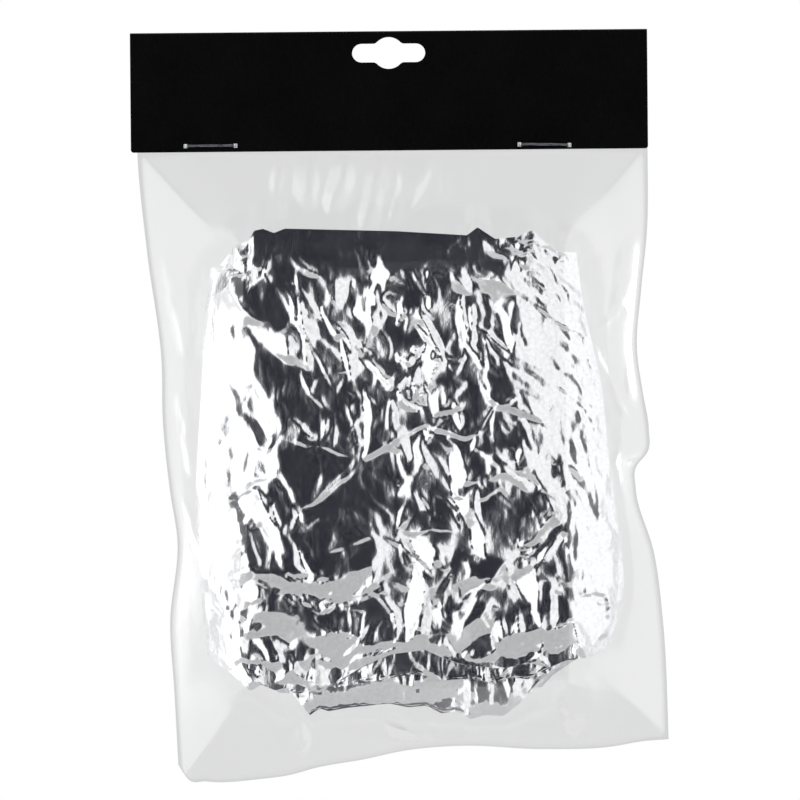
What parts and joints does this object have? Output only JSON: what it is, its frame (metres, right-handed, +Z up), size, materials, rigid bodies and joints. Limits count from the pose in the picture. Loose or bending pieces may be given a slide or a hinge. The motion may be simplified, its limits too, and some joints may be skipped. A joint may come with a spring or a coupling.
{
  "type": "packaged foil shower cap",
  "caption": "Silver foil shower cap folded in a clear film bag that hangs from a stapled black header card with a hang slot.",
  "frame": {"origin": "middle of the hang slot, halfway through the folded header card", "axes": "+Z up as the pack hangs, +X to the viewer's right, front of the card towards -Y"},
  "size_m": [0.1339, 0.0198, 0.1875],
  "materials": {
    "card": "satin",
    "bag_film": "gloss",
    "staple_wire": "polished",
    "cap_foil": "polished",
    "elastic": "matte"
  },
  "bodies": {
    "header": {"header_card": "card", "bag_front_neck": "bag_film", "bag_back_neck": "bag_film", "left_staple": "staple_wire", "right_staple": "staple_wire"},
    "bag": {"bag_front_film": "bag_film", "bag_back_film": "bag_film"},
    "cap": {"cap_film": "cap_foil", "cap_hem": "cap_foil", "cap_elastic": "elastic"}
  },
  "joints": [
    {"name": "bag_swing", "type": "hinge", "parent": "header", "child": "bag", "pos_m": [0, 0, -0.0257], "axis": [1, 0, 0], "range_deg": [-90, 90]},
    {"name": "cap_slide", "type": "slide", "parent": "bag", "child": "cap", "axis": [0, 0, 1], "range_m": [0, 0.008]}
  ]
}
